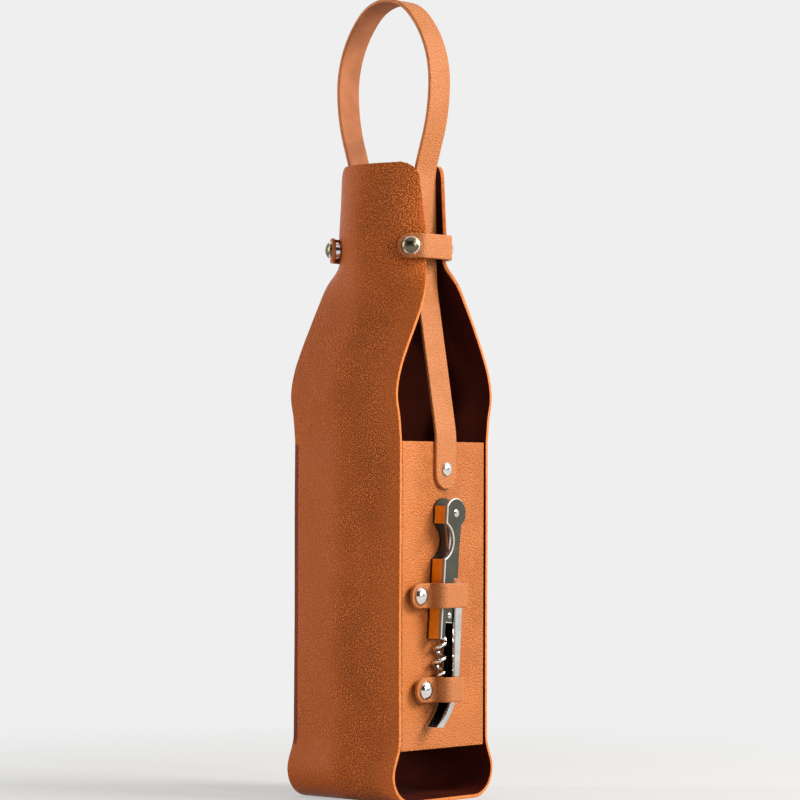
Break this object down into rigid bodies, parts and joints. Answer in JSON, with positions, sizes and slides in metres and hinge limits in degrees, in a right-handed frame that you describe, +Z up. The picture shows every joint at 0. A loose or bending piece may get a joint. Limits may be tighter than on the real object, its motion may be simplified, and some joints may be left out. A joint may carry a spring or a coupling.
{
  "type": "bottle carrier",
  "caption": "Upright leather bottle carrier: folded strip with sewn side panels, looped handle, snap straps round the neck and a waiter's corkscrew strapped to its side.",
  "frame": {"origin": "middle of the floor that the carrier stands on, below the bottle's axis", "axes": "+Z up the bottle, -Y towards the front panel with the snaps, +X towards the side with the corkscrew"},
  "size_m": [0.0945, 0.084, 0.4445],
  "materials": {
    "leather": "pebble grain",
    "chrome": "polished",
    "satin_steel": "satin",
    "polished_steel": "polished",
    "inlay": "satin"
  },
  "bodies": {
    "carrier": {"back_flap": "leather", "corkscrew_handle_spine": "inlay", "corkscrew_head_pin": "polished_steel", "corkscrew_head_spine": "inlay", "corkscrew_inner_plate": "satin_steel", "corkscrew_lever": "polished_steel", "corkscrew_lever_pin": "polished_steel", "corkscrew_outer_plate": "satin_steel", "corkscrew_snap_post_lower": "chrome", "corkscrew_snap_post_upper": "chrome", "corkscrew_snap_stud_lower": "chrome", "corkscrew_snap_stud_upper": "chrome", "corkscrew_strap_end_lower": "leather", "corkscrew_strap_end_upper": "leather", "corkscrew_worm": "polished_steel", "corkscrew_worm_pin": "polished_steel", "handle_leg_left": "leather", "handle_leg_right": "leather", "handle_rivet_cap_left": "chrome", "handle_rivet_cap_right": "chrome", "handle_rivet_post_left": "chrome", "handle_rivet_post_right": "chrome", "neck_rivet_cap_left": "chrome", "neck_rivet_cap_right": "chrome", "neck_rivet_post_left": "chrome", "neck_rivet_post_right": "chrome", "neck_strap_left": "leather", "neck_strap_right": "leather", "side_panel_left": "leather", "side_panel_right": "leather", "wrap_base": "leather"},
    "front_flap": {"front_flap": "leather", "neck_snap_stud_right": "chrome", "neck_snap_stud_left": "chrome", "neck_snap_post_right": "chrome", "neck_snap_post_left": "chrome"},
    "neck_tab_right": {"neck_tab_right": "leather", "neck_snap_cap_right": "chrome", "neck_snap_socket_right": "chrome"},
    "neck_tab_left": {"neck_tab_left": "leather", "neck_snap_cap_left": "chrome", "neck_snap_socket_left": "chrome"},
    "corkscrew_strap_upper": {"corkscrew_strap_upper": "leather", "corkscrew_snap_cap_upper": "chrome", "corkscrew_snap_socket_upper": "chrome"},
    "corkscrew_strap_lower": {"corkscrew_strap_lower": "leather", "corkscrew_snap_cap_lower": "chrome", "corkscrew_snap_socket_lower": "chrome"},
    "handle_loop": {"handle_loop": "leather"},
    "corkscrew_knife": {"corkscrew_knife": "polished_steel"}
  },
  "joints": [
    {"name": "neck_tab_right_bend", "type": "hinge", "parent": "carrier", "child": "neck_tab_right", "pos_m": [0.03541, -0.006, 0.30461], "axis": [0, 0, 1], "range_deg": [0, 150]},
    {"name": "neck_tab_left_bend", "type": "hinge", "parent": "carrier", "child": "neck_tab_left", "pos_m": [-0.03541, -0.006, 0.30461], "axis": [0, 0, -1], "range_deg": [0, 150]},
    {"name": "front_flap_bend", "type": "hinge", "parent": "carrier", "child": "front_flap", "pos_m": [0, -0.0375, 0.197], "axis": [1, 0, 0], "range_deg": [0, 9]},
    {"name": "corkscrew_strap_upper_bend", "type": "hinge", "parent": "carrier", "child": "corkscrew_strap_upper", "pos_m": [0.0387, 0.0079, 0.113], "axis": [0, 0, 1], "range_deg": [0, 80]},
    {"name": "corkscrew_strap_lower_bend", "type": "hinge", "parent": "carrier", "child": "corkscrew_strap_lower", "pos_m": [0.0387, 0.0049, 0.0618], "axis": [0, 0, 1], "range_deg": [0, 80]},
    {"name": "handle_fold", "type": "hinge", "parent": "carrier", "child": "handle_loop", "pos_m": [0, 0, 0.362], "axis": [1, 0, 0], "range_deg": [-80, 80], "stiffness_Nm_per_rad": 0.05},
    {"name": "knife_pivot", "type": "hinge", "parent": "carrier", "child": "corkscrew_knife", "pos_m": [0.0434, -0.0017, 0.1578], "axis": [1, 0, 0], "range_deg": [0, 150]}
  ],
  "couplings": [
    {"joint": "neck_tab_left_bend", "follows": "neck_tab_right_bend", "ratio": 1},
    {"joint": "front_flap_bend", "follows": "neck_tab_right_bend", "ratio": 0.06}
  ]
}
